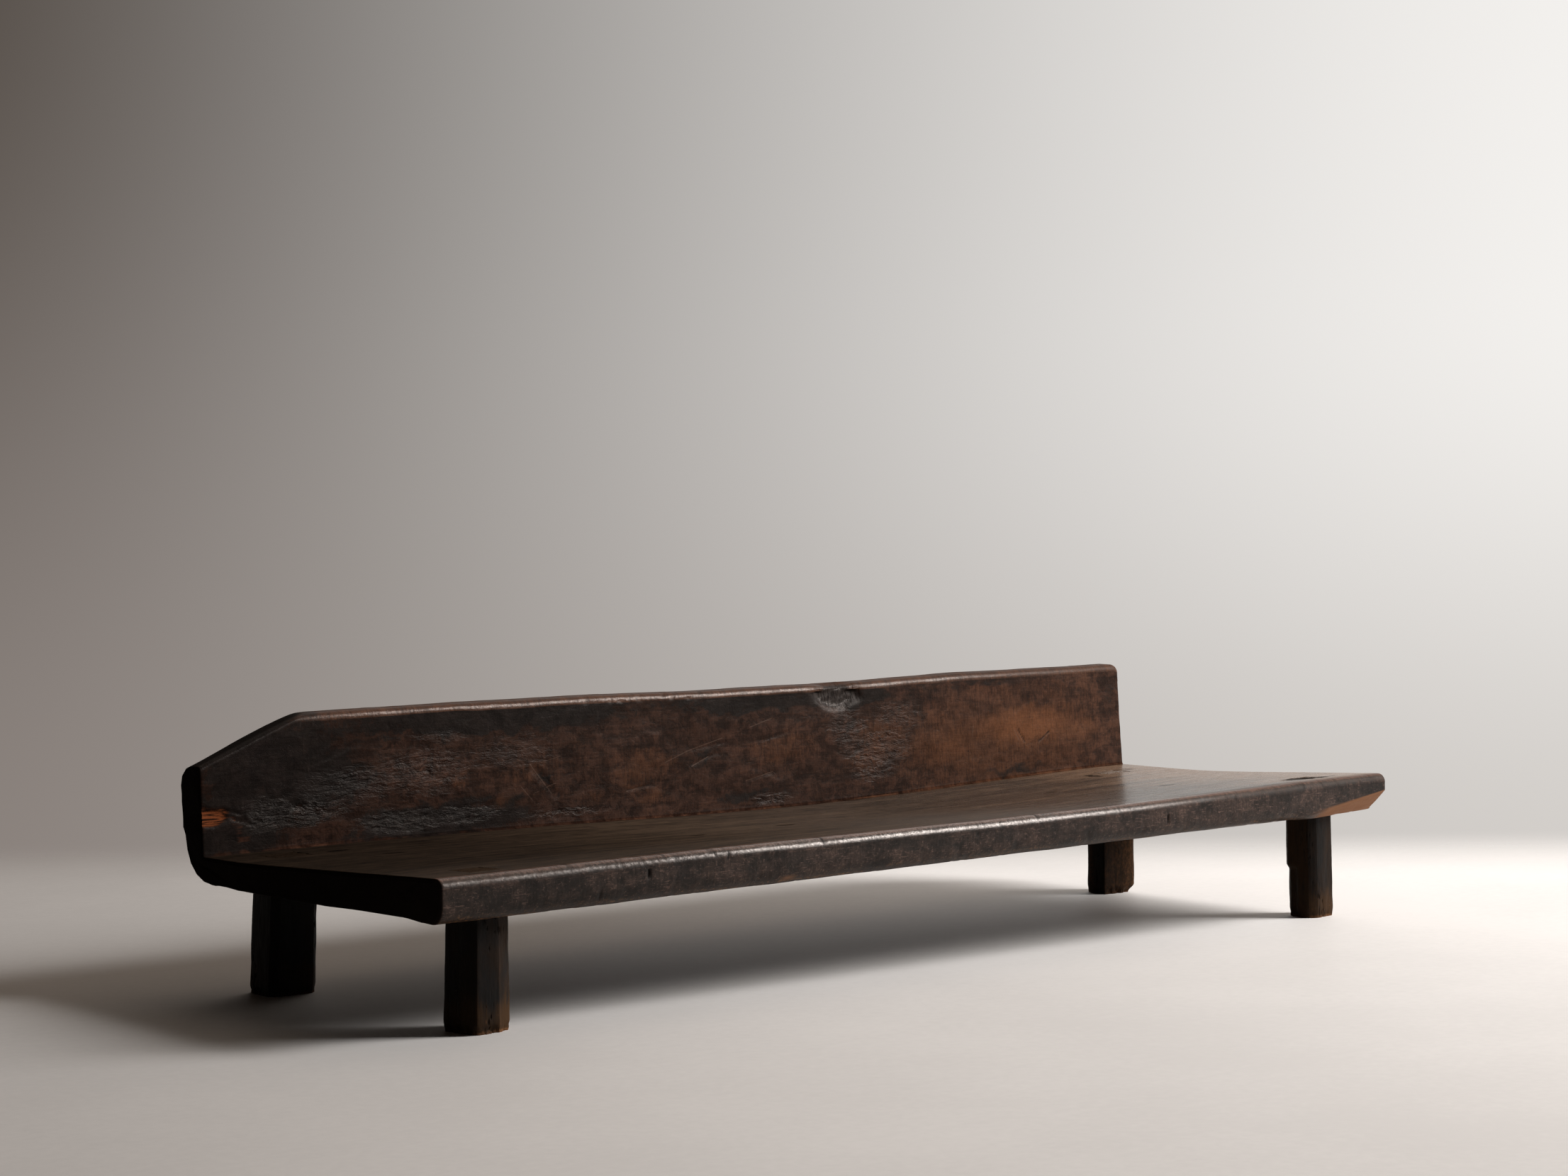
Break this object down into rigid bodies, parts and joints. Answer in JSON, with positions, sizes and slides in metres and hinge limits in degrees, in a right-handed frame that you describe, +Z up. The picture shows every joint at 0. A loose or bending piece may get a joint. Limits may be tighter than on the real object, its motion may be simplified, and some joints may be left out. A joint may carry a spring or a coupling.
{
  "type": "monolithic wooden bench",
  "caption": "Low bench hewn from one log, an L-shaped seat and low back with one sloped corner, standing on wedged through-tenon post legs.",
  "frame": {"origin": "on the floor under the middle of the bench's bounding box", "axes": "+X along the bench to the right as seen from the front, -Y towards the open front, +Y towards the back rest, +Z up"},
  "size_m": [2, 0.7, 0.416],
  "materials": {
    "hewn_log": "near-black brown patina, hand-hewn, worn to red-brown and polished on the edges",
    "post_wood": "dark brown patina, hewn facets, feet worn to tan",
    "wedge_wood": "dark end grain, dry"
  },
  "bodies": {
    "root": {"seat_and_back": "hewn_log", "leg_front_left": "post_wood", "leg_front_right": "post_wood", "leg_back_left": "post_wood", "leg_back_right": "post_wood", "wedge_front_left": "wedge_wood", "wedge_front_right": "wedge_wood", "wedge_back_left": "wedge_wood", "wedge_back_right": "wedge_wood"}
  },
  "joints": []
}
